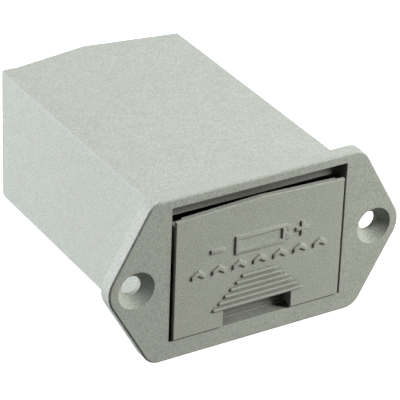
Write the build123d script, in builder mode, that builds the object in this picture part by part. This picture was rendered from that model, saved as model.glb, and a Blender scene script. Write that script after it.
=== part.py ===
from build123d import *
import os
from math import radians, tan

# Panel-mounted drawer holder for one flat 9 volt block battery.
# All sizes are in millimetres. X runs across the front, Y into the panel and Z up.
# The origin lies midway between the two screw holes, on the flange face that meets the panel.

# The battery that the tray is made for
battery_width = 26.5
battery_height = 17.5
battery_length = 48.5
battery_stud_height = 2.1
battery_stud_spacing = 12.7
battery_play = 0.15

# Front flange, a six-sided plate with round ears about the screw holes
flange_thickness = 2.6
flange_top_border = 1.65
flange_side_border = 3.33
flange_corner_radius = 3.0
flange_edge_radius = 0.4
ear_radius = 4.85
screw_offset = 6.08
screw_hole_radius = 1.7
screw_sink_radius = 3.25
screw_sink_angle = 82

# Case behind the flange, with a rear wall that rises to a shallow ridge at its middle
case_head_room = 2.5
case_contact_room = 5.55
case_ridge = 2.8
case_edge_radius = 0.3
case_foot_radius = 1.0
side_wall = 1.55
roof_wall = 1.5
floor_wall = 1.4
rear_wall = 1.5
corner_bead_width = 2.3
corner_bead_depth = 0.9
corner_bead_inset = 0.6

# Shallow pocket in the flange that the drawer front sits in
pocket_depth = 2.0
pocket_step = 0.27
pocket_sill_drop = 0.55
pocket_header = 2.45
pocket_corner_radius = 0.15
pocket_edge_radius = 0.12

# Guide rails and stops inside the case
rail_height = 2.0
rail_reach = 1.45
upper_rail_level = 9.4
tray_side_play = 0.25
stop_rib_width = 1.1
tray_end_play = 0.3

# Drawer front
panel_side_gap = 0.57
panel_thickness = 1.0
panel_margin_thickness = 0.6
panel_proud = 0.4
panel_bottom_gap = 0.3
panel_crown = 0.6
panel_edge_radius = 0.15
lift_travel = 1.8
lift_play = 0.05

# Finger notch in the lower edge of the drawer front, and the closed recess behind it
notch_width = 12.8
notch_height = 3.0
recess_depth = 2.4
recess_wall = 1.0

# Raised grip ribs above the notch, each longer than the one above it
rib_count = 6
rib_pitch = 1.02
rib_shortest = 6.6
rib_growth = 2.08
rib_width = 0.56
rib_height = 0.32
rib_edge_radius = 0.2
rib_notch_margin = 0.55

# Tray that carries the battery
tray_wall = 0.8
tray_floor = 1.2
tray_end_wall = 1.0
tray_side_drop = 5.5
tray_cheek_drop = 0.1
tray_cheek_length = 5.0
tray_cheek_slope = 6.0
tray_floor_gap = 0.1
tray_window_side = 2.9
tray_window_sill = 4.0
stop_rib_inset = 3.0
spine_width = 1.0

# Catch under the tray floor, and the window in the case floor that it drops into
catch_width = 12.0
catch_drop = 1.05
catch_land = 0.7
catch_length = 2.5
catch_play = 0.15
catch_side_play = 0.3
sill_depth = 1.6

# Spring contacts, each a folded strip with a solder tag that leaves through the rear wall
strip_thickness = 0.4
leaf_width = 5.0
tag_width = 2.8
tag_offset = 4.4
tag_reach = 5.6
tag_eye_radius = 0.65
tag_slot_play = 0.06
shoulder_gap = 0.05
leaf_bend_radius = 0.9
leaf_preload = 0.8
leaf_tip_reach = 2.6
leaf_tip_curl = 1.0
pip_radius = 1.5
pip_height = 0.7

# Widths and heights, worked out from the battery outwards
bay_width = battery_width + 2 * battery_play
tray_width = bay_width + 2 * tray_wall
cavity_width = tray_width + 2 * (tray_side_play + rail_reach)
cavity_height = tray_floor_gap + tray_floor + battery_height + case_head_room
case_width = cavity_width + 2 * side_wall
case_height = floor_wall + cavity_height + roof_wall
case_bottom = -case_height / 2
cavity_floor = case_bottom + floor_wall
cavity_roof = cavity_floor + cavity_height
pocket_width = cavity_width + 2 * pocket_step
pocket_bottom = cavity_floor - pocket_sill_drop
pocket_top = cavity_roof + pocket_header
screw_spacing = pocket_width + 2 * screw_offset
flange_height = 2 * (pocket_top + flange_top_border)
flange_corner_span = pocket_width + 2 * flange_side_border

# Places of the drawer front
front_y = -flange_thickness
pocket_back_y = front_y + pocket_depth
panel_width = pocket_width - 2 * panel_side_gap
panel_front_y = front_y - panel_proud
panel_back_y = panel_front_y + panel_thickness
panel_bottom = pocket_bottom + panel_bottom_gap
panel_top = pocket_top - lift_travel - lift_play
panel_shoulder = panel_top - panel_crown
notch_top = panel_bottom + notch_height

# Places of the tray
tray_bottom = cavity_floor + tray_floor_gap
bay_floor = tray_bottom + tray_floor
battery_top = bay_floor + battery_height
battery_axis_z = bay_floor + battery_height / 2
tray_top = battery_top - tray_side_drop
cheek_top = battery_top - tray_cheek_drop
stop_y = panel_front_y + recess_depth + recess_wall
battery_body_length = battery_length - battery_stud_height
bay_end_y = stop_y + battery_body_length + 2 * battery_play
tray_end_y = bay_end_y + tray_end_wall
case_depth = tray_end_y + case_contact_room

# Places of the catch
sill_end_y = pocket_back_y + sill_depth
catch_front_y = sill_end_y + catch_play

# Places of the contacts
stud_x = battery_stud_spacing / 2
tag_x = stud_x + tag_offset
stud_end_y = stop_y + battery_length
pip_front_y = stud_end_y - leaf_preload


def rear_face_y(x):
    """Return where the sloping rear face of the case lies at a distance x from the middle."""
    return case_depth + case_ridge * (1 - abs(x) / (case_width / 2))


def case_plan(half_width, wall):
    """Return the plan corners of the case, or of its hollow a wall's thickness inside the rear face."""
    return [
        (-half_width, 0),
        (half_width, 0),
        (half_width, rear_face_y(half_width) - wall),
        (0, rear_face_y(0) - wall),
        (-half_width, rear_face_y(half_width) - wall),
    ]


# Housing: flange, case, pocket and guides in one moulding
with BuildPart() as housing:
    # The case, with its lower rear edges rounded and its other outer edges eased, but not the ridge
    with BuildSketch(Plane.XY.offset(case_bottom)):
        Polygon(*case_plan(case_width / 2, 0), align=None)
    extrude(amount=case_height)
    rear_edges = housing.edges().filter_by(lambda e: e.center().Y > case_depth)
    fillet(rear_edges.group_by(Axis.Z)[0], case_foot_radius)
    side_edges = housing.edges().filter_by(lambda e: abs(e.center().X) > case_width / 2 - tray_wall)
    upper_edges = housing.edges().filter_by(lambda e: e.center().Y > case_depth).group_by(Axis.Z)[-1]
    long_edges = side_edges.filter_by(lambda e: e.center().Y > case_depth / 3)
    fillet(long_edges + upper_edges, case_edge_radius)

    # A narrow bead down the rear left corner
    bead_start_y = case_depth - corner_bead_width
    with BuildSketch(Plane.XY.offset(case_bottom + case_edge_radius)):
        with Locations((-case_width / 2 + corner_bead_inset, bead_start_y)):
            Rectangle(
                corner_bead_width,
                corner_bead_width + corner_bead_depth,
                align=(Align.MIN, Align.MIN),
            )
    extrude(amount=case_height - 2 * case_edge_radius)

    # The flange plate, its long edges rounded at the corners and its front edge eased
    with BuildSketch(Plane.XZ) as flange_outline:
        Rectangle(flange_corner_span, flange_height)
        with GridLocations(screw_spacing, 0, 2, 1):
            Circle(ear_radius)
        make_hull()
        corners = flange_outline.vertices().group_by(Axis.Y)
        fillet(corners[0] + corners[-1], flange_corner_radius)
    extrude(amount=flange_thickness)
    fillet(housing.faces().sort_by(Axis.Y)[0].edges(), flange_edge_radius)

    # The pocket in the flange, with its rim eased
    with BuildSketch(Plane.XZ.offset(flange_thickness)):
        with Locations((0, (pocket_bottom + pocket_top) / 2)):
            RectangleRounded(pocket_width, pocket_top - pocket_bottom, pocket_corner_radius)
    extrude(amount=-pocket_depth, mode=Mode.SUBTRACT)
    pocket_rim = housing.faces().sort_by(Axis.Y)[0].inner_wires()[0]
    fillet(pocket_rim.edges(), pocket_edge_radius)

    # The hollow of the case, open through the pocket
    with BuildSketch(Plane.XY.offset(cavity_floor)):
        Polygon(*case_plan(cavity_width / 2, rear_wall), align=None)
        Rectangle(cavity_width, flange_thickness, align=(Align.CENTER, Align.MAX))
    extrude(amount=cavity_roof - cavity_floor, mode=Mode.SUBTRACT)

    # Two pairs of rails that keep the narrower tray in line
    rail_inner = tray_width / 2 + tray_side_play
    rail_length = rear_face_y(cavity_width / 2) - rear_wall - pocket_back_y
    with BuildSketch(Plane.XZ.offset(-pocket_back_y)):
        for level in (cavity_floor, cavity_floor + upper_rail_level):
            for side in (Align.MIN, Align.MAX):
                direction = 1 if side == Align.MIN else -1
                with Locations((direction * rail_inner, level)):
                    Rectangle(rail_reach, rail_height, align=(side, Align.MIN))
    extrude(amount=-rail_length)

    # Ribs on the inside of the rear wall that stop the tray
    stop_rib_x = tray_width / 2 - stop_rib_width / 2
    stop_rib_front_y = tray_end_y + tray_end_play
    stop_rib_length = rear_face_y(stop_rib_x) - rear_wall / 2 - stop_rib_front_y
    with BuildSketch(Plane.XZ.offset(-stop_rib_front_y)):
        for direction in (-1, 1):
            with Locations((direction * stop_rib_x, cavity_floor)):
                Rectangle(stop_rib_width, cavity_roof - cavity_floor, align=(Align.CENTER, Align.MIN))
    extrude(amount=-stop_rib_length)

    # The window in the floor behind the sill, which the catch drops into
    with BuildSketch(Plane.XY.offset(case_bottom)):
        with Locations((0, sill_end_y)):
            Rectangle(
                catch_width + 2 * catch_side_play,
                catch_length + 2 * catch_play,
                align=(Align.CENTER, Align.MIN),
            )
    extrude(amount=floor_wall, mode=Mode.SUBTRACT)

    # The countersunk screw holes
    with BuildSketch(Plane.XZ.offset(flange_thickness)):
        with GridLocations(screw_spacing, 0, 2, 1):
            Circle(screw_hole_radius)
    extrude(amount=-flange_thickness, mode=Mode.SUBTRACT)
    sink_depth = (screw_sink_radius - screw_hole_radius) / tan(radians(screw_sink_angle / 2))
    with BuildSketch(Plane.XZ.offset(flange_thickness)):
        with GridLocations(screw_spacing, 0, 2, 1):
            Circle(screw_sink_radius)
    extrude(amount=-sink_depth, taper=screw_sink_angle / 2, mode=Mode.SUBTRACT)

    # The slots that the solder tags pass through
    with BuildSketch(Plane.XZ.offset(-case_depth - case_ridge)):
        with Locations((-tag_x, battery_axis_z), (tag_x, battery_axis_z)):
            Rectangle(strip_thickness + 2 * tag_slot_play, tag_width + 2 * tag_slot_play)
    extrude(amount=case_ridge + 2 * rear_wall, mode=Mode.SUBTRACT)

housing.part.label = "housing"


# Drawer: front panel, grip, catch and open-topped battery tray in one moulding
with BuildPart() as drawer:
    # The front panel, highest at its middle, notched below and thinner outside the tray's width
    with BuildSketch(Plane.XZ.offset(-panel_front_y)) as panel_outline:
        with BuildLine():
            Polyline(
                (-panel_width / 2, panel_bottom),
                (panel_width / 2, panel_bottom),
                (panel_width / 2, panel_shoulder),
                (0, panel_top),
                (-panel_width / 2, panel_shoulder),
                close=True,
            )
        make_face()
        with Locations((0, notch_top)):
            Rectangle(
                notch_width,
                2 * notch_height,
                align=(Align.CENTER, Align.MAX),
                mode=Mode.SUBTRACT,
            )
    extrude(amount=-panel_margin_thickness)
    fillet(drawer.faces().sort_by(Axis.Y)[0].edges(), panel_edge_radius)
    with BuildSketch(Plane.XZ.offset(-panel_front_y - panel_margin_thickness)):
        add(panel_outline.sketch_local)
        with Locations((0, panel_bottom)):
            Rectangle(
                tray_width,
                panel_top - panel_bottom,
                align=(Align.CENTER, Align.MIN),
                mode=Mode.INTERSECT,
            )
    extrude(amount=-(panel_thickness - panel_margin_thickness))

    # The tray floor and the end wall, with a window that the battery studs reach through
    tray_length = tray_end_y - panel_back_y
    with BuildSketch(Plane.XY.offset(tray_bottom)):
        with Locations((0, panel_back_y)):
            Rectangle(tray_width, tray_length, align=(Align.CENTER, Align.MIN))
    extrude(amount=tray_floor)
    with BuildSketch(Plane.XZ.offset(-bay_end_y)):
        with Locations((0, tray_bottom)):
            Rectangle(tray_width, tray_top - tray_bottom, align=(Align.CENTER, Align.MIN))
        with Locations((0, bay_floor + tray_window_sill)):
            Rectangle(
                bay_width - 2 * tray_window_side,
                tray_top - bay_floor,
                align=(Align.CENTER, Align.MIN),
                mode=Mode.SUBTRACT,
            )
    extrude(amount=-tray_end_wall)

    # The side walls, which climb to a tall cheek behind the panel
    cheek_y = panel_back_y + tray_cheek_length
    for inner_x in (bay_width / 2, -bay_width / 2 - tray_wall):
        with BuildSketch(Plane.YZ.offset(inner_x)):
            Polygon(
                (panel_back_y, tray_bottom),
                (tray_end_y, tray_bottom),
                (tray_end_y, tray_top),
                (cheek_y + tray_cheek_slope, tray_top),
                (cheek_y, cheek_top),
                (panel_back_y, cheek_top),
                align=None,
            )
        extrude(amount=tray_wall)

    # Spines behind the panel that the end of the battery stops against
    spine_x = bay_width / 2 - stop_rib_inset
    with BuildSketch(Plane.XZ.offset(-panel_back_y)):
        with Locations((-spine_x, tray_bottom), (spine_x, tray_bottom)):
            Rectangle(spine_width, tray_top - tray_bottom, align=(Align.CENTER, Align.MIN))
    extrude(amount=-(stop_y - panel_back_y))

    # The closed recess behind the finger notch
    with BuildSketch(Plane.XZ.offset(-panel_back_y)):
        with Locations((0, tray_bottom)):
            Rectangle(
                notch_width + 2 * recess_wall,
                notch_top + recess_wall - tray_bottom,
                align=(Align.CENTER, Align.MIN),
            )
    extrude(amount=-(stop_y - panel_back_y))
    with BuildSketch(Plane.XZ.offset(-panel_front_y)):
        with Locations((0, notch_top)):
            Rectangle(notch_width, 2 * notch_height, align=(Align.CENTER, Align.MAX))
    extrude(amount=-recess_depth, mode=Mode.SUBTRACT)

    # The catch, square in front to hook the sill and sloped behind to ride over it
    with BuildSketch(Plane.YZ):
        Polygon(
            (catch_front_y, tray_bottom),
            (catch_front_y, tray_bottom - catch_drop),
            (catch_front_y + catch_land, tray_bottom - catch_drop),
            (catch_front_y + catch_length, tray_bottom),
            align=None,
        )
    extrude(amount=catch_width / 2, both=True)

    # The grip ribs
    lowest_rib_z = notch_top + rib_notch_margin
    for i in range(rib_count):
        with BuildSketch(Plane.XZ.offset(-panel_front_y)):
            with Locations((0, lowest_rib_z + i * rib_pitch)):
                SlotOverall(rib_shortest + (rib_count - 1 - i) * rib_growth, rib_width)
        extrude(amount=rib_height)
    rib_tops = drawer.faces().filter_by(Plane.XZ).group_by(Axis.Y)[0]
    fillet(rib_tops.edges(), rib_edge_radius)

drawer.part.label = "drawer"


def contact(side):
    """Return a contact strip: a wide leaf with a domed pip for one stud, and a narrow solder tag."""
    seat_y = rear_face_y(tag_x) - rear_wall - shoulder_gap
    tag_end_y = rear_face_y(tag_x) + tag_reach
    leaf_y = pip_front_y + pip_height + strip_thickness / 2
    tip_x = stud_x - leaf_tip_reach
    with BuildPart() as strip:
        # The tag, straight out through the rear wall, with an eye for the wire
        with BuildSketch(Plane.XY.offset(battery_axis_z)):
            with Locations((side * tag_x, seat_y - leaf_bend_radius)):
                Rectangle(
                    strip_thickness,
                    tag_end_y - seat_y + leaf_bend_radius,
                    align=(Align.CENTER, Align.MIN),
                )
        extrude(amount=tag_width / 2, both=True)
        with BuildSketch(Plane.YZ.offset(side * tag_x)):
            with Locations((tag_end_y - tag_width / 2, battery_axis_z)):
                Circle(tag_eye_radius)
        extrude(amount=strip_thickness, both=True, mode=Mode.SUBTRACT)

        # The leaf, bent forward from its shoulder and across to the stud, with its tip curled back
        with BuildSketch(Plane.XY.offset(battery_axis_z)):
            with BuildLine() as path:
                FilletPolyline(
                    (side * tag_x, seat_y),
                    (side * tag_x, seat_y - 2 * leaf_bend_radius),
                    (side * stud_x, leaf_y),
                    (side * tip_x, leaf_y + leaf_tip_curl),
                    radius=leaf_bend_radius,
                )
            trace(path.line, strip_thickness)
        extrude(amount=leaf_width / 2, both=True)

        # The pip, pressed forward out of the leaf
        with Locations((side * stud_x, pip_front_y + pip_radius, battery_axis_z)):
            Sphere(pip_radius)
        with Locations((side * stud_x, leaf_y, battery_axis_z)):
            Box(
                2 * pip_radius,
                2 * pip_radius,
                2 * pip_radius,
                align=(Align.CENTER, Align.MIN, Align.CENTER),
                mode=Mode.SUBTRACT,
            )
    return strip.part


positive = contact(1)
positive.label = "contact_positive"
negative = contact(-1)
negative.label = "contact_negative"

os.makedirs("parts", exist_ok=True)
for piece in (housing.part, drawer.part, positive, negative):
    export_step(piece, f"parts/{piece.label}.step")
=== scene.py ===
import math

import bmesh
import bpy
from bpy.props import FloatProperty, FloatVectorProperty, IntProperty, PointerProperty
from mathutils import Matrix, Vector


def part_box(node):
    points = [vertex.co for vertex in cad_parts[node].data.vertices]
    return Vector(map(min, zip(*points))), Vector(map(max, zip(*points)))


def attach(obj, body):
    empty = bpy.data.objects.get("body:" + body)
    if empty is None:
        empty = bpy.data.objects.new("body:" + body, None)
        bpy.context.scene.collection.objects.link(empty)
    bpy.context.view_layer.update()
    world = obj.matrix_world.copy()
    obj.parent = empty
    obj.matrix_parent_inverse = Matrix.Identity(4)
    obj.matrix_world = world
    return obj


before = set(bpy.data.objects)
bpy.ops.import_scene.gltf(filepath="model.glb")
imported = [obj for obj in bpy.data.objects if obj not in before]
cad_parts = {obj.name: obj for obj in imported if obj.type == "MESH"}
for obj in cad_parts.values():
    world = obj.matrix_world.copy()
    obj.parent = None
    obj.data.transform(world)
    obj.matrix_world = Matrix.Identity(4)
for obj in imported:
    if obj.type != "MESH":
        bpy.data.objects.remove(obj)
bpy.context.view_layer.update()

bl_info = {
    "name": "Drawer Battery Holder",
    "version": (1, 0, 0),
    "blender": (4, 5, 0),
    "location": "View3D > Sidebar > Holder",
    "description": "Finishes a panel-mounted drawer holder for one 9 volt block battery",
    "category": "Object",
}

MM = 0.001
HOUSING_LOW, HOUSING_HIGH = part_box("housing")

# The ribs are the foremost part of the drawer, and stand on its flat front
RIB_HEIGHT = 0.32 * MM
PANEL_FACE_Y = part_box("drawer")[0].y + RIB_HEIGHT

# The specks: the share of cells that hold one, its radius in cells, and how much darker it is
SPECK_SHARE = 0.06
SPECK_RADIUS = 0.035
SPECK_DARKNESS = 0.45

# The plastic's middle roughness, how far the cloudy patches change it, and its shine
PLASTIC_ROUGHNESS = 0.58
PLASTIC_ROUGHNESS_RANGE = 0.18
PLASTIC_SHINE = 0.12

# Rays that look for the walls of a hollow, for the painted shade in it
HOLLOW_RAYS = 8

# The plating: stretch of the rolling lines, number of stains in a metre, and how dark they are
LINE_STRETCH = 0.03
STAIN_SCALE = 450.0
STAIN_TONE = 0.86

# The plating's least roughness, and what the lines and the stains add to it
PLATING_ROUGHNESS = 0.14
LINE_ROUGHNESS = 0.22
STAIN_ROUGHNESS = 0.12

# The signs' rounded edges: number of steps, and the turn from which an edge is drawn sharp
EDGE_STEPS = 3
SHARP_TURN = math.radians(32)

# The floor: half its side, in metres, its faint patches and its finish
FLOOR_HALF_SIZE = 8.0
FLOOR_PATCH_SCALE = 12.0
FLOOR_PATCH_TONE = 0.99
FLOOR_ROUGHNESS = 0.9
FLOOR_SHINE = 0.1

COLD_WHITE = (0.945, 0.965, 1.0)
COOL_WHITE = (0.965, 0.988, 1.0)
WARM_WHITE = (0.995, 1.0, 0.92)

# Each soft box: its name, its side, the direction that it stands in, its distance and its colour
SOFT_BOXES = (
    ("key", 0.60, (-0.64, 0.74, 0.17), 1.20, COOL_WHITE),
    ("top", 0.30, (0.62, 0.12, 0.72), 0.70, COLD_WHITE),
    ("fill", 0.20, (0.54, -0.57, 0.62), 1.00, WARM_WHITE),
    ("side", 0.12, (0.80, -0.58, 0.16), 0.26, WARM_WHITE),
    ("bounce", 0.40, (-0.15, -0.50, -0.85), 0.60, WARM_WHITE),
)

# The camera's near and far limits
NEAREST, FARTHEST = 0.01, 50.0


class PlasticSettings(bpy.types.PropertyGroup):
    """Colour and grain of the moulded plastic"""

    housing_colour: FloatVectorProperty(
        name="Housing",
        description="Base colour of the flange and case",
        subtype="COLOR",
        size=4,
        min=0.0,
        max=1.0,
        default=(0.452, 0.470, 0.440, 1.0),
    )
    drawer_colour: FloatVectorProperty(
        name="Drawer",
        description="Base colour of the drawer and its raised signs",
        subtype="COLOR",
        size=4,
        min=0.0,
        max=1.0,
        default=(0.446, 0.462, 0.430, 1.0),
    )
    grain_size: FloatProperty(
        name="Grain size",
        description="Width of one dimple in the spark-eroded surface",
        unit="LENGTH",
        min=0.05 * MM,
        default=0.30 * MM,
    )
    grain_depth: FloatProperty(
        name="Grain depth",
        description="How far the dimples reach below the surface",
        unit="LENGTH",
        min=0.0,
        default=0.045 * MM,
    )
    mottle_size: FloatProperty(
        name="Mottle size",
        description="Width of the faint cloudy patches in the plastic's colour",
        unit="LENGTH",
        min=0.5 * MM,
        default=2.2 * MM,
    )
    mottle_strength: FloatProperty(
        name="Mottle strength",
        description="How much the cloudy patches lighten and darken the colour",
        subtype="FACTOR",
        min=0.0,
        max=1.0,
        default=0.16,
    )
    grain_contrast: FloatProperty(
        name="Grain contrast",
        description="How much the dimples lighten and darken the colour",
        subtype="FACTOR",
        min=0.0,
        max=1.0,
        default=0.85,
    )
    # Painted shade: how far the ambient occlusion looks for walls that make the colour darker in
    # a hollow
    painted_shade_reach: FloatProperty(
        name="Painted shade reach",
        description="How near the opposite walls of a hollow stand for dirt to gather in it",
        unit="LENGTH",
        min=0.1 * MM,
        default=4.0 * MM,
    )
    # Painted shade: how much the ambient occlusion darkens the colour in hollows
    painted_shade_strength: FloatProperty(
        name="Painted shade strength",
        description="How much the dirt darkens the hollows",
        subtype="FACTOR",
        min=0.0,
        max=1.0,
        default=0.70,
    )
    speck_spacing: FloatProperty(
        name="Speck spacing",
        description="Size of the cells that may each hold one small dark speck",
        unit="LENGTH",
        min=1.0 * MM,
        default=4.0 * MM,
    )


class ContactSettings(bpy.types.PropertyGroup):
    """Finish of the plated spring contacts"""

    plating_colour: FloatVectorProperty(
        name="Plating",
        description="Base colour of the nickel plating",
        subtype="COLOR",
        size=4,
        min=0.0,
        max=1.0,
        default=(0.72, 0.69, 0.63, 1.0),
    )
    line_spacing: FloatProperty(
        name="Rolling lines",
        description="Spacing of the fine lines that rolling leaves along the strip",
        unit="LENGTH",
        min=0.02 * MM,
        default=0.09 * MM,
    )
    line_depth: FloatProperty(
        name="Line depth",
        description="How deep the rolling lines are",
        unit="LENGTH",
        min=0.0,
        default=0.004 * MM,
    )


class SignSettings(bpy.types.PropertyGroup):
    """Sizes of the raised signs"""

    relief: FloatProperty(
        name="Relief",
        description="How far the signs stand out of the plastic",
        unit="LENGTH",
        min=0.1 * MM,
        default=RIB_HEIGHT,
    )
    edge: FloatProperty(
        name="Edge",
        description="Radius along the signs' upper edges",
        unit="LENGTH",
        min=0.0,
        default=0.05 * MM,
    )
    battery_level: FloatProperty(
        name="Battery sign level",
        description="Height of the middle of the battery sign on the drawer front",
        unit="LENGTH",
        default=3.7 * MM,
    )
    battery_width: FloatProperty(
        name="Battery sign width",
        description="Width of the battery outline without its studs",
        unit="LENGTH",
        min=4.0 * MM,
        default=9.4 * MM,
    )
    battery_height: FloatProperty(
        name="Battery sign height",
        description="Height of the battery outline",
        unit="LENGTH",
        min=1.0 * MM,
        default=3.3 * MM,
    )
    stud_width: FloatProperty(
        name="Stud width",
        description="Height and reach of the two studs on the end of the battery outline",
        unit="LENGTH",
        min=0.2 * MM,
        default=0.95 * MM,
    )
    stroke: FloatProperty(
        name="Stroke",
        description="Width of the lines that the signs are drawn with",
        unit="LENGTH",
        min=0.2 * MM,
        default=0.66 * MM,
    )
    polarity_size: FloatProperty(
        name="Polarity sign size",
        description="Length of the bars of the plus and minus signs",
        unit="LENGTH",
        min=0.5 * MM,
        default=2.6 * MM,
    )
    polarity_offset: FloatProperty(
        name="Polarity sign offset",
        description="Distance of the plus and minus signs from the middle of the drawer front",
        unit="LENGTH",
        min=0.0,
        default=7.9 * MM,
    )
    lift_level: FloatProperty(
        name="Lift mark level",
        description="Height of the row of lift marks on the drawer front",
        unit="LENGTH",
        default=0.1 * MM,
    )
    lift_count: IntProperty(
        name="Lift marks",
        description="How many upward marks the row has",
        min=1,
        default=7,
    )
    lift_pitch: FloatProperty(
        name="Lift mark pitch",
        description="Distance from one upward mark to the next",
        unit="LENGTH",
        min=0.5 * MM,
        default=3.8 * MM,
    )
    lift_width: FloatProperty(
        name="Lift mark width",
        description="Width of one upward mark",
        unit="LENGTH",
        min=0.3 * MM,
        default=2.4 * MM,
    )
    lift_height: FloatProperty(
        name="Lift mark height",
        description="Height of one upward mark",
        unit="LENGTH",
        min=0.3 * MM,
        default=1.6 * MM,
    )


class StageSettings(bpy.types.PropertyGroup):
    """Floor, light and camera"""

    floor_colour: FloatVectorProperty(
        name="Floor",
        description="Colour of the floor",
        subtype="COLOR",
        size=4,
        min=0.0,
        max=1.0,
        default=(0.90, 0.90, 0.90, 1.0),
    )
    floor_glow: FloatProperty(
        name="Floor glow",
        description="Light that the floor gives off to the camera, which keeps the shadows faint",
        min=0.0,
        default=0.90,
    )
    world_strength: FloatProperty(
        name="Room light",
        description="Strength of the even light from all round",
        min=0.0,
        default=0.016,
    )
    key_energy: FloatProperty(
        name="Key light",
        description="Power of the large soft box behind the left side",
        unit="POWER",
        min=0.0,
        default=29.6,
    )
    top_energy: FloatProperty(
        name="Top light",
        description="Power of the soft box above the right side",
        unit="POWER",
        min=0.0,
        default=3.02,
    )
    fill_energy: FloatProperty(
        name="Fill light",
        description="Power of the soft box above the right side of the front",
        unit="POWER",
        min=0.0,
        default=7.15,
    )
    side_energy: FloatProperty(
        name="Side light",
        description="Power of the small soft box low down beside the right of the front",
        unit="POWER",
        min=0.0,
        default=0.30,
    )
    bounce_energy: FloatProperty(
        name="Bounced light",
        description="Power of the soft light that comes up from the table in front",
        unit="POWER",
        min=0.0,
        default=0.33,
    )
    azimuth: FloatProperty(
        name="Azimuth",
        description="How far the camera stands round to the left of the drawer front",
        subtype="ANGLE",
        default=math.radians(31.674),
    )
    elevation: FloatProperty(
        name="Elevation",
        description="How far the camera looks down",
        subtype="ANGLE",
        default=math.radians(29.222),
    )
    roll: FloatProperty(
        name="Roll",
        description="Turn of the camera about its own line of sight",
        subtype="ANGLE",
        default=math.radians(2.142),
    )
    distance: FloatProperty(
        name="Distance",
        description="Distance from the camera to the point that it aims at",
        unit="LENGTH",
        min=0.1,
        default=409.7 * MM,
    )
    lens: FloatProperty(
        name="Lens",
        description="Focal length of the camera, in millimetres",
        min=10.0,
        default=218.04,
    )
    aim: FloatVectorProperty(
        name="Aim",
        description="Point that the camera looks at",
        subtype="XYZ",
        unit="LENGTH",
        size=3,
        default=(4.71 * MM, 23.34 * MM, -3.66 * MM),
    )


def feed(tree, socket, value):
    """Link an input to another node's output, or set it to a number."""
    if isinstance(value, (int, float)):
        socket.default_value = value
    else:
        tree.links.new(value, socket)


def math_node(tree, operation, first, second):
    """Return the output of a math node that takes in two outputs or numbers."""
    node = tree.nodes.new("ShaderNodeMath")
    node.operation = operation
    feed(tree, node.inputs[0], first)
    feed(tree, node.inputs[1], second)
    return node.outputs["Value"]


def noise(tree, vector, scale, detail, roughness=0.5):
    """Return the output of a noise texture, which varies about one half."""
    node = tree.nodes.new("ShaderNodeTexNoise")
    feed(tree, node.inputs["Vector"], vector)
    feed(tree, node.inputs["Scale"], scale)
    feed(tree, node.inputs["Detail"], detail)
    feed(tree, node.inputs["Roughness"], roughness)
    return node.outputs["Fac"]


def mixed_colour(tree, factor, colour, tone):
    """Return the output of a mix between a colour and a darker tone of it."""
    node = tree.nodes.new("ShaderNodeMix")
    node.data_type = "RGBA"
    node.inputs["A"].default_value = colour
    node.inputs["B"].default_value = [tone * c for c in colour[:3]] + [1.0]
    feed(tree, node.inputs["Factor"], factor)
    return node.outputs["Result"]


def add_bump(tree, shader, height, depth):
    """Give a shader's surface a relief that follows a height, with its depth in metres."""
    bump = tree.nodes.new("ShaderNodeBump")
    bump.inputs["Distance"].default_value = depth
    tree.links.new(height, bump.inputs["Height"])
    tree.links.new(bump.outputs["Normal"], shader.inputs["Normal"])


def new_group(name, inputs, outputs):
    """Return a new shader node group and its input and output nodes."""
    tree = bpy.data.node_groups.new(name, "ShaderNodeTree")
    for label, kind in inputs:
        tree.interface.new_socket(label, in_out="INPUT", socket_type=kind)
    for label, kind in outputs:
        tree.interface.new_socket(label, in_out="OUTPUT", socket_type=kind)
    return tree, tree.nodes.new("NodeGroupInput"), tree.nodes.new("NodeGroupOutput")


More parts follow.
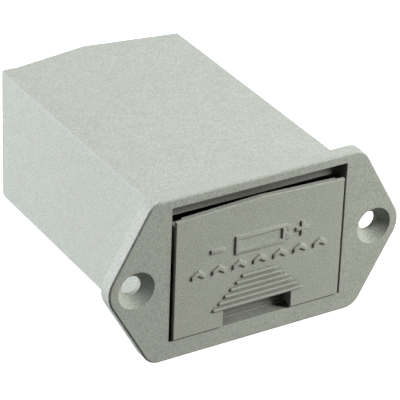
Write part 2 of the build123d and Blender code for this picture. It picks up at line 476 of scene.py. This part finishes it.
def moulded_grain_group():
    """Return the group for spark-eroded plastic: colour, roughness and a dimpled height."""
    tree, entry, leave = new_group(
        "Moulded grain",
        [
            ("Vector", "NodeSocketVector"),
            ("Colour", "NodeSocketColor"),
            ("Grain Scale", "NodeSocketFloat"),
            ("Mottle Scale", "NodeSocketFloat"),
            ("Mottle Strength", "NodeSocketFloat"),
            ("Grain Contrast", "NodeSocketFloat"),
            ("Speck Scale", "NodeSocketFloat"),
            ("Openness", "NodeSocketFloat"),
            ("Grime Strength", "NodeSocketFloat"),
        ],
        [
            ("Colour", "NodeSocketColor"),
            ("Roughness", "NodeSocketFloat"),
            ("Height", "NodeSocketFloat"),
        ],
    )
    links = tree.links
    vector = entry.outputs["Vector"]
    dimples = noise(tree, vector, entry.outputs["Grain Scale"], detail=2.0, roughness=0.6)
    clouds = noise(tree, vector, entry.outputs["Mottle Scale"], detail=3.0, roughness=0.55)

    # The cloudy patches and the dimples' shade both vary the colour about its middle value
    cloud_shift = math_node(tree, "SUBTRACT", clouds, 0.5)
    dimple_shift = math_node(tree, "SUBTRACT", dimples, 0.5)
    cloud_shade = math_node(tree, "MULTIPLY", cloud_shift, entry.outputs["Mottle Strength"])
    dimple_shade = math_node(tree, "MULTIPLY", dimple_shift, entry.outputs["Grain Contrast"])
    level = math_node(tree, "ADD", math_node(tree, "ADD", cloud_shade, dimple_shade), 1.0)

    # The red of a cell's random colour says whether the cell holds a speck
    cells = tree.nodes.new("ShaderNodeTexVoronoi")
    links.new(vector, cells.inputs["Vector"])
    links.new(entry.outputs["Speck Scale"], cells.inputs["Scale"])
    cell_colour = tree.nodes.new("ShaderNodeSeparateColor")
    links.new(cells.outputs["Color"], cell_colour.inputs["Color"])
    chosen = math_node(tree, "GREATER_THAN", cell_colour.outputs["Red"], 1 - SPECK_SHARE)
    near = math_node(tree, "LESS_THAN", cells.outputs["Distance"], SPECK_RADIUS)
    speck = math_node(tree, "MULTIPLY", chosen, near)
    speck_shade = math_node(tree, "MULTIPLY", speck, -SPECK_DARKNESS)
    specked = math_node(tree, "ADD", level, speck_shade)

    # Painted shade: the colour darkens where the surface is shut in, as the ambient occlusion
    # finds it
    shut_in = math_node(tree, "SUBTRACT", 1.0, entry.outputs["Openness"])
    painted_shade = math_node(tree, "MULTIPLY", shut_in, entry.outputs["Grime Strength"])
    unshaded_share = math_node(tree, "SUBTRACT", 1.0, painted_shade)
    total = math_node(tree, "MULTIPLY", specked, unshaded_share)

    tint = tree.nodes.new("ShaderNodeVectorMath")
    tint.operation = "SCALE"
    links.new(entry.outputs["Colour"], tint.inputs[0])
    links.new(total, tint.inputs["Scale"])
    links.new(tint.outputs["Vector"], leave.inputs["Colour"])

    roughness_shift = math_node(tree, "MULTIPLY", cloud_shift, PLASTIC_ROUGHNESS_RANGE)
    roughness = math_node(tree, "ADD", roughness_shift, PLASTIC_ROUGHNESS)
    links.new(roughness, leave.inputs["Roughness"])

    # A speck is also a pit
    height = math_node(tree, "SUBTRACT", dimples, speck)
    links.new(height, leave.inputs["Height"])
    return tree


def new_material(name):
    """Return a new material, its tree, its shader and its object coordinates."""
    material = bpy.data.materials.new(name)
    material.use_nodes = True
    tree = material.node_tree
    shader = tree.nodes["Principled BSDF"]
    coordinates = tree.nodes.new("ShaderNodeTexCoord")
    return material, tree, shader, coordinates.outputs["Object"]


def moulded_plastic(name, colour, group, settings, moves):
    """Return matte moulded plastic with a fine spark-eroded grain, and painted shade in its
    hollows.

    On a part that moves, only its own shape makes hollows.
    """
    material, tree, shader, coordinates = new_material(name)
    # Painted shade: an ambient occlusion node darkens the colour in hollows
    hollows = tree.nodes.new("ShaderNodeAmbientOcclusion")
    hollows.samples = HOLLOW_RAYS
    hollows.only_local = moves
    hollows.inputs["Distance"].default_value = settings.painted_shade_reach

    grain = tree.nodes.new("ShaderNodeGroup")
    grain.node_tree = group
    grain.inputs["Colour"].default_value = colour
    for label, value in (
        ("Vector", coordinates),
        ("Grain Scale", 1 / settings.grain_size),
        ("Mottle Scale", 1 / settings.mottle_size),
        ("Mottle Strength", settings.mottle_strength),
        ("Grain Contrast", settings.grain_contrast),
        ("Speck Scale", 1 / settings.speck_spacing),
        ("Openness", hollows.outputs["AO"]),
        ("Grime Strength", settings.painted_shade_strength),
    ):
        feed(tree, grain.inputs[label], value)
    tree.links.new(grain.outputs["Colour"], shader.inputs["Base Color"])
    tree.links.new(grain.outputs["Roughness"], shader.inputs["Roughness"])
    add_bump(tree, shader, grain.outputs["Height"], settings.grain_depth)
    shader.inputs["Specular IOR Level"].default_value = PLASTIC_SHINE
    material.diffuse_color = colour
    return material


def plated_strip(name, settings):
    """Return nickel plating on spring strip, with fine rolling lines along the strip."""
    material, tree, shader, coordinates = new_material(name)
    stretch = tree.nodes.new("ShaderNodeMapping")
    stretch.inputs["Scale"].default_value = (LINE_STRETCH, LINE_STRETCH, 1.0)
    tree.links.new(coordinates, stretch.inputs["Vector"])
    lines = noise(tree, stretch.outputs["Vector"], 1 / settings.line_spacing, detail=2.0)
    stains = noise(tree, coordinates, STAIN_SCALE, detail=4.0)
    colour = mixed_colour(tree, stains, settings.plating_colour, STAIN_TONE)
    tree.links.new(colour, shader.inputs["Base Color"])

    lined = math_node(tree, "MULTIPLY", lines, LINE_ROUGHNESS)
    stained = math_node(tree, "MULTIPLY", stains, STAIN_ROUGHNESS)
    both = math_node(tree, "ADD", lined, stained)
    roughness = math_node(tree, "ADD", both, PLATING_ROUGHNESS)
    tree.links.new(roughness, shader.inputs["Roughness"])
    add_bump(tree, shader, lines, settings.line_depth)
    shader.inputs["Metallic"].default_value = 1.0
    return material


def dress(node_name, material):
    """Give a CAD node its finish."""
    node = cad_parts[node_name]
    if not node.material_slots:
        node.data.materials.append(material)
    for slot in node.material_slots:
        slot.material = material


def bar(middle_x, middle_z, width, height):
    """Return the outline of an upright rectangle."""
    left, right = middle_x - width / 2, middle_x + width / 2
    low, high = middle_z - height / 2, middle_z + height / 2
    return [(left, low), (right, low), (right, high), (left, high)]


def plus_sign(middle_x, middle_z, size, stroke):
    """Return the outline of a plus sign."""
    a, b = size / 2, stroke / 2
    quarter = [(b, b), (b, a), (-b, a)]
    outline = []
    for turn in range(4):
        for x, z in quarter:
            for _ in range(turn):
                x, z = -z, x
            outline.append((middle_x + x, middle_z + z))
    return outline


def lift_mark(middle_x, middle_z, width, height, stroke):
    """Return the outline of a mark that points up."""
    half = width / 2
    drop = stroke / math.sin(math.atan2(half, height - stroke))
    low, high = middle_z - height / 2, middle_z + height / 2
    return [
        (middle_x - half, low + drop),
        (middle_x - half, low),
        (middle_x, high - drop),
        (middle_x + half, low),
        (middle_x + half, low + drop),
        (middle_x, high),
    ]


def raise_outlines(outlines, rings, relief, edge):
    """Return a mesh of raised signs that stand towards -Y on the plane y = 0.

    Each outline is filled. Each ring is a pair of outlines with the same number of points.
    """
    work = bmesh.new()
    for outline in outlines:
        work.faces.new([work.verts.new((x, 0.0, z)) for x, z in outline])
    for outer, inner in rings:
        outside = [work.verts.new((x, 0.0, z)) for x, z in outer]
        inside = [work.verts.new((x, 0.0, z)) for x, z in inner]
        for i in range(len(outside)):
            work.faces.new((outside[i - 1], outside[i], inside[i], inside[i - 1]))
    raised = bmesh.ops.extrude_face_region(work, geom=work.faces[:])["geom"]
    upper = {v for v in raised if isinstance(v, bmesh.types.BMVert)}
    bmesh.ops.translate(work, verts=list(upper), vec=(0.0, -relief, 0.0))
    rims = [
        rim
        for rim in work.edges
        if set(rim.verts) <= upper and any(not set(f.verts) <= upper for f in rim.link_faces)
    ]
    bmesh.ops.bevel(
        work, geom=rims, offset=edge, segments=EDGE_STEPS, profile=0.5, affect="EDGES"
    )
    bmesh.ops.recalc_face_normals(work, faces=work.faces[:])
    mesh = bpy.data.meshes.new("raised")
    work.to_mesh(mesh)
    work.free()
    mesh.shade_smooth()
    mesh.set_sharp_from_angle(angle=SHARP_TURN)
    return mesh


def add_piece(name, mesh, material, body):
    """Add an object that holds the mesh and rides on a body of the frame."""
    mesh.name = name
    if not mesh.materials:
        mesh.materials.append(material)
    piece = bpy.data.objects.new(name, mesh)
    bpy.context.scene.collection.objects.link(piece)
    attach(piece, body)


def row_tree():
    """Return a Geometry Nodes tree that repeats a mesh along X, and its inputs by name."""
    tree = bpy.data.node_groups.new("Row of marks", "GeometryNodeTree")
    sockets = {}
    for label, kind in (
        ("Geometry", "NodeSocketGeometry"),
        ("Count", "NodeSocketInt"),
        ("Pitch", "NodeSocketFloat"),
        ("Material", "NodeSocketMaterial"),
    ):
        sockets[label] = tree.interface.new_socket(label, in_out="INPUT", socket_type=kind)
    tree.interface.new_socket("Geometry", in_out="OUTPUT", socket_type="NodeSocketGeometry")
    entry = tree.nodes.new("NodeGroupInput")
    leave = tree.nodes.new("NodeGroupOutput")
    step = tree.nodes.new("ShaderNodeCombineXYZ")
    line = tree.nodes.new("GeometryNodeMeshLine")
    copies = tree.nodes.new("GeometryNodeInstanceOnPoints")
    real = tree.nodes.new("GeometryNodeRealizeInstances")
    paint = tree.nodes.new("GeometryNodeSetMaterial")
    links = tree.links
    links.new(entry.outputs["Pitch"], step.inputs["X"])
    links.new(entry.outputs["Count"], line.inputs["Count"])
    links.new(step.outputs["Vector"], line.inputs["Offset"])
    links.new(line.outputs["Mesh"], copies.inputs["Points"])
    links.new(entry.outputs["Geometry"], copies.inputs["Instance"])
    links.new(copies.outputs["Instances"], real.inputs["Geometry"])
    links.new(real.outputs["Geometry"], paint.inputs["Geometry"])
    links.new(entry.outputs["Material"], paint.inputs["Material"])
    links.new(paint.outputs["Geometry"], leave.inputs["Geometry"])
    return tree, {label: socket.identifier for label, socket in sockets.items()}


def evaluated_mesh(seed_mesh, tree, values):
    """Return the plain mesh that a Geometry Nodes tree makes out of a seed mesh."""
    carrier = bpy.data.objects.new("carrier", seed_mesh)
    bpy.context.scene.collection.objects.link(carrier)
    modifier = carrier.modifiers.new("nodes", "NODES")
    modifier.node_group = tree
    for identifier, value in values.items():
        modifier[identifier] = value
    bpy.context.view_layer.update()
    graph = bpy.context.evaluated_depsgraph_get()
    mesh = bpy.data.meshes.new_from_object(carrier.evaluated_get(graph))
    bpy.data.objects.remove(carrier)
    bpy.data.meshes.remove(seed_mesh)
    return mesh


class HOLDER_OT_mould_plastic(bpy.types.Operator):
    """Give the housing and the drawer their moulded plastic"""

    bl_idname = "holder.mould_plastic"
    bl_label = "Mould Plastic"

    def execute(self, context):
        settings = context.scene.holder_plastic
        group = moulded_grain_group()
        for node, colour, moves in (
            ("housing", settings.housing_colour, False),
            ("drawer", settings.drawer_colour, True),
        ):
            dress(node, moulded_plastic(f"{node} plastic", colour, group, settings, moves))
        return {"FINISHED"}


class HOLDER_OT_plate_contacts(bpy.types.Operator):
    """Give the two spring contacts their plating"""

    bl_idname = "holder.plate_contacts"
    bl_label = "Plate Contacts"

    def execute(self, context):
        material = plated_strip("nickel plating", context.scene.holder_contacts)
        dress("contact_positive", material)
        dress("contact_negative", material)
        return {"FINISHED"}


class HOLDER_OT_battery_sign(bpy.types.Operator):
    """Raise a battery outline on the drawer front, between a minus and a plus sign"""

    bl_idname = "holder.battery_sign"
    bl_label = "Battery Sign"

    def execute(self, context):
        s = context.scene.holder_signs
        inner_width = s.battery_width - 2 * s.stroke
        inner_height = s.battery_height - 2 * s.stroke
        ring = (
            bar(0, s.battery_level, s.battery_width, s.battery_height),
            bar(0, s.battery_level, inner_width, inner_height),
        )
        outlines = [
            plus_sign(s.polarity_offset, s.battery_level, s.polarity_size, s.stroke),
            bar(-s.polarity_offset, s.battery_level, s.polarity_size, s.stroke),
        ]
        stud_x = (s.battery_width + s.stud_width) / 2
        for side in (-1, 1):
            stud_z = s.battery_level + side * s.battery_height / 4
            outlines.append(bar(stud_x, stud_z, s.stud_width, s.stud_width))
        mesh = raise_outlines(outlines, [ring], s.relief, s.edge)
        mesh.transform(Matrix.Translation((0, PANEL_FACE_Y, 0)))
        add_piece(
            "drawer_battery_sign",
            mesh,
            bpy.data.materials["drawer plastic"],
            "drawer",
        )
        return {"FINISHED"}


class HOLDER_OT_lift_marks(bpy.types.Operator):
    """Raise a row of upward marks on the drawer front"""

    bl_idname = "holder.lift_marks"
    bl_label = "Lift Marks"

    def execute(self, context):
        s = context.scene.holder_signs
        material = bpy.data.materials["drawer plastic"]
        first_x = -(s.lift_count - 1) * s.lift_pitch / 2
        outline = lift_mark(first_x, s.lift_level, s.lift_width, s.lift_height, s.stroke)
        seed = raise_outlines([outline], [], s.relief, s.edge)
        seed.transform(Matrix.Translation((0, PANEL_FACE_Y, 0)))
        tree, socket = row_tree()
        values = {
            socket["Count"]: s.lift_count,
            socket["Pitch"]: s.lift_pitch,
            socket["Material"]: material,
        }
        mesh = evaluated_mesh(seed, tree, values)
        add_piece("drawer_lift_marks", mesh, material, "drawer")
        return {"FINISHED"}


def resting_slope():
    """Return the slope of a floor that the flange's lower back edge and the case's end touch.

    The flange's back face lies at y = 0.
    """
    middle = HOUSING_HIGH.y / 2
    return min(
        (vertex.co.z - HOUSING_LOW.z) / vertex.co.y
        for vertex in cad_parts["housing"].data.vertices
        if vertex.co.y > middle
    )


def soft_box(name, energy, size, direction, distance, colour):
    """Add a square area light at a distance in a direction from the part, pointing back at it."""
    light = bpy.data.lights.new(name, "AREA")
    light.energy = energy
    light.size = size
    light.color = colour
    away = Vector(direction).normalized()
    lamp = bpy.data.objects.new(name, light)
    lamp.location = (HOUSING_LOW + HOUSING_HIGH) / 2 + away * distance
    lamp.rotation_euler = (-away).to_track_quat("-Z", "Y").to_euler()
    bpy.context.scene.collection.objects.link(lamp)


def studio_floor(colour, glow):
    """Add the pale floor, tilted so that the part rests on it at two edges.

    The camera alone sees it: it sends no light back to the part and stops none.
    """
    mesh = bpy.data.meshes.new("floor")
    slope = resting_slope()
    corners = []
    for across, along in ((-1, -1), (1, -1), (1, 1), (-1, 1)):
        x, y = across * FLOOR_HALF_SIZE, along * FLOOR_HALF_SIZE
        corners.append((x, y, HOUSING_LOW.z + y * slope))
    mesh.from_pydata(corners, [], [(0, 1, 2, 3)])
    floor = bpy.data.objects.new("floor", mesh)
    bpy.context.scene.collection.objects.link(floor)
    material, tree, shader, coordinates = new_material("floor paint")
    patches = noise(tree, coordinates, FLOOR_PATCH_SCALE, detail=3.0)
    patched = mixed_colour(tree, patches, colour, FLOOR_PATCH_TONE)
    tree.links.new(patched, shader.inputs["Base Color"])
    shader.inputs["Roughness"].default_value = FLOOR_ROUGHNESS
    shader.inputs["Specular IOR Level"].default_value = FLOOR_SHINE
    shader.inputs["Emission Color"].default_value = colour
    shader.inputs["Emission Strength"].default_value = glow
    mesh.materials.append(material)
    floor.visible_diffuse = False
    floor.visible_glossy = False
    floor.visible_shadow = False


class HOLDER_OT_stage(bpy.types.Operator):
    """Set the floor, the soft light and the camera"""

    bl_idname = "holder.stage"
    bl_label = "Stage"

    def execute(self, context):
        s = context.scene.holder_stage
        scene = context.scene
        studio_floor(s.floor_colour, s.floor_glow)

        world = bpy.data.worlds.new("studio")
        world.use_nodes = True
        background = world.node_tree.nodes["Background"]
        background.inputs["Color"].default_value = (1.0, 1.0, 1.0, 1.0)
        background.inputs["Strength"].default_value = s.world_strength
        scene.world = world

        for name, size, direction, distance, colour in SOFT_BOXES:
            energy = getattr(s, f"{name}_energy")
            soft_box(name, energy, size, direction, distance, colour)

        camera = bpy.data.objects.new("camera", bpy.data.cameras.new("camera"))
        camera.data.lens = s.lens
        camera.data.clip_start = NEAREST
        camera.data.clip_end = FARTHEST
        back = Vector(
            (
                -math.sin(s.azimuth) * math.cos(s.elevation),
                -math.cos(s.azimuth) * math.cos(s.elevation),
                math.sin(s.elevation),
            )
        )
        turn = (-back).to_track_quat("-Z", "Y").to_matrix().to_4x4()
        place = Matrix.Translation(Vector(s.aim) + back * s.distance)
        camera.matrix_world = place @ turn @ Matrix.Rotation(s.roll, 4, "Z")
        scene.collection.objects.link(camera)
        scene.camera = camera
        scene.view_settings.view_transform = "Standard"
        return {"FINISHED"}


class HOLDER_PT_parts(bpy.types.Panel):
    """Lists the steps that finish the holder"""

    bl_label = "Battery Holder"
    bl_idname = "HOLDER_PT_parts"
    bl_space_type = "VIEW_3D"
    bl_region_type = "UI"
    bl_category = "Holder"

    def draw(self, context):
        for settings, steps in PANEL_ROWS:
            box = self.layout.box()
            group = getattr(context.scene, settings)
            for name in group.__annotations__:
                box.prop(group, name)
            for step in steps:
                box.operator(step.bl_idname)


PANEL_ROWS = (
    ("holder_plastic", (HOLDER_OT_mould_plastic,)),
    ("holder_contacts", (HOLDER_OT_plate_contacts,)),
    ("holder_signs", (HOLDER_OT_battery_sign, HOLDER_OT_lift_marks)),
    ("holder_stage", (HOLDER_OT_stage,)),
)

CLASSES = (
    PlasticSettings,
    ContactSettings,
    SignSettings,
    StageSettings,
    HOLDER_OT_mould_plastic,
    HOLDER_OT_plate_contacts,
    HOLDER_OT_battery_sign,
    HOLDER_OT_lift_marks,
    HOLDER_OT_stage,
    HOLDER_PT_parts,
)


def register():
    for cls in CLASSES:
        bpy.utils.register_class(cls)
    bpy.types.Scene.holder_plastic = PointerProperty(type=PlasticSettings)
    bpy.types.Scene.holder_contacts = PointerProperty(type=ContactSettings)
    bpy.types.Scene.holder_signs = PointerProperty(type=SignSettings)
    bpy.types.Scene.holder_stage = PointerProperty(type=StageSettings)


def unregister():
    del bpy.types.Scene.holder_stage
    del bpy.types.Scene.holder_signs
    del bpy.types.Scene.holder_contacts
    del bpy.types.Scene.holder_plastic
    for cls in reversed(CLASSES):
        bpy.utils.unregister_class(cls)


def main():
    register()
    bpy.ops.holder.mould_plastic()
    bpy.ops.holder.plate_contacts()
    bpy.ops.holder.battery_sign()
    bpy.ops.holder.lift_marks()
    bpy.ops.holder.stage()


if __name__ == "__main__":
    main()
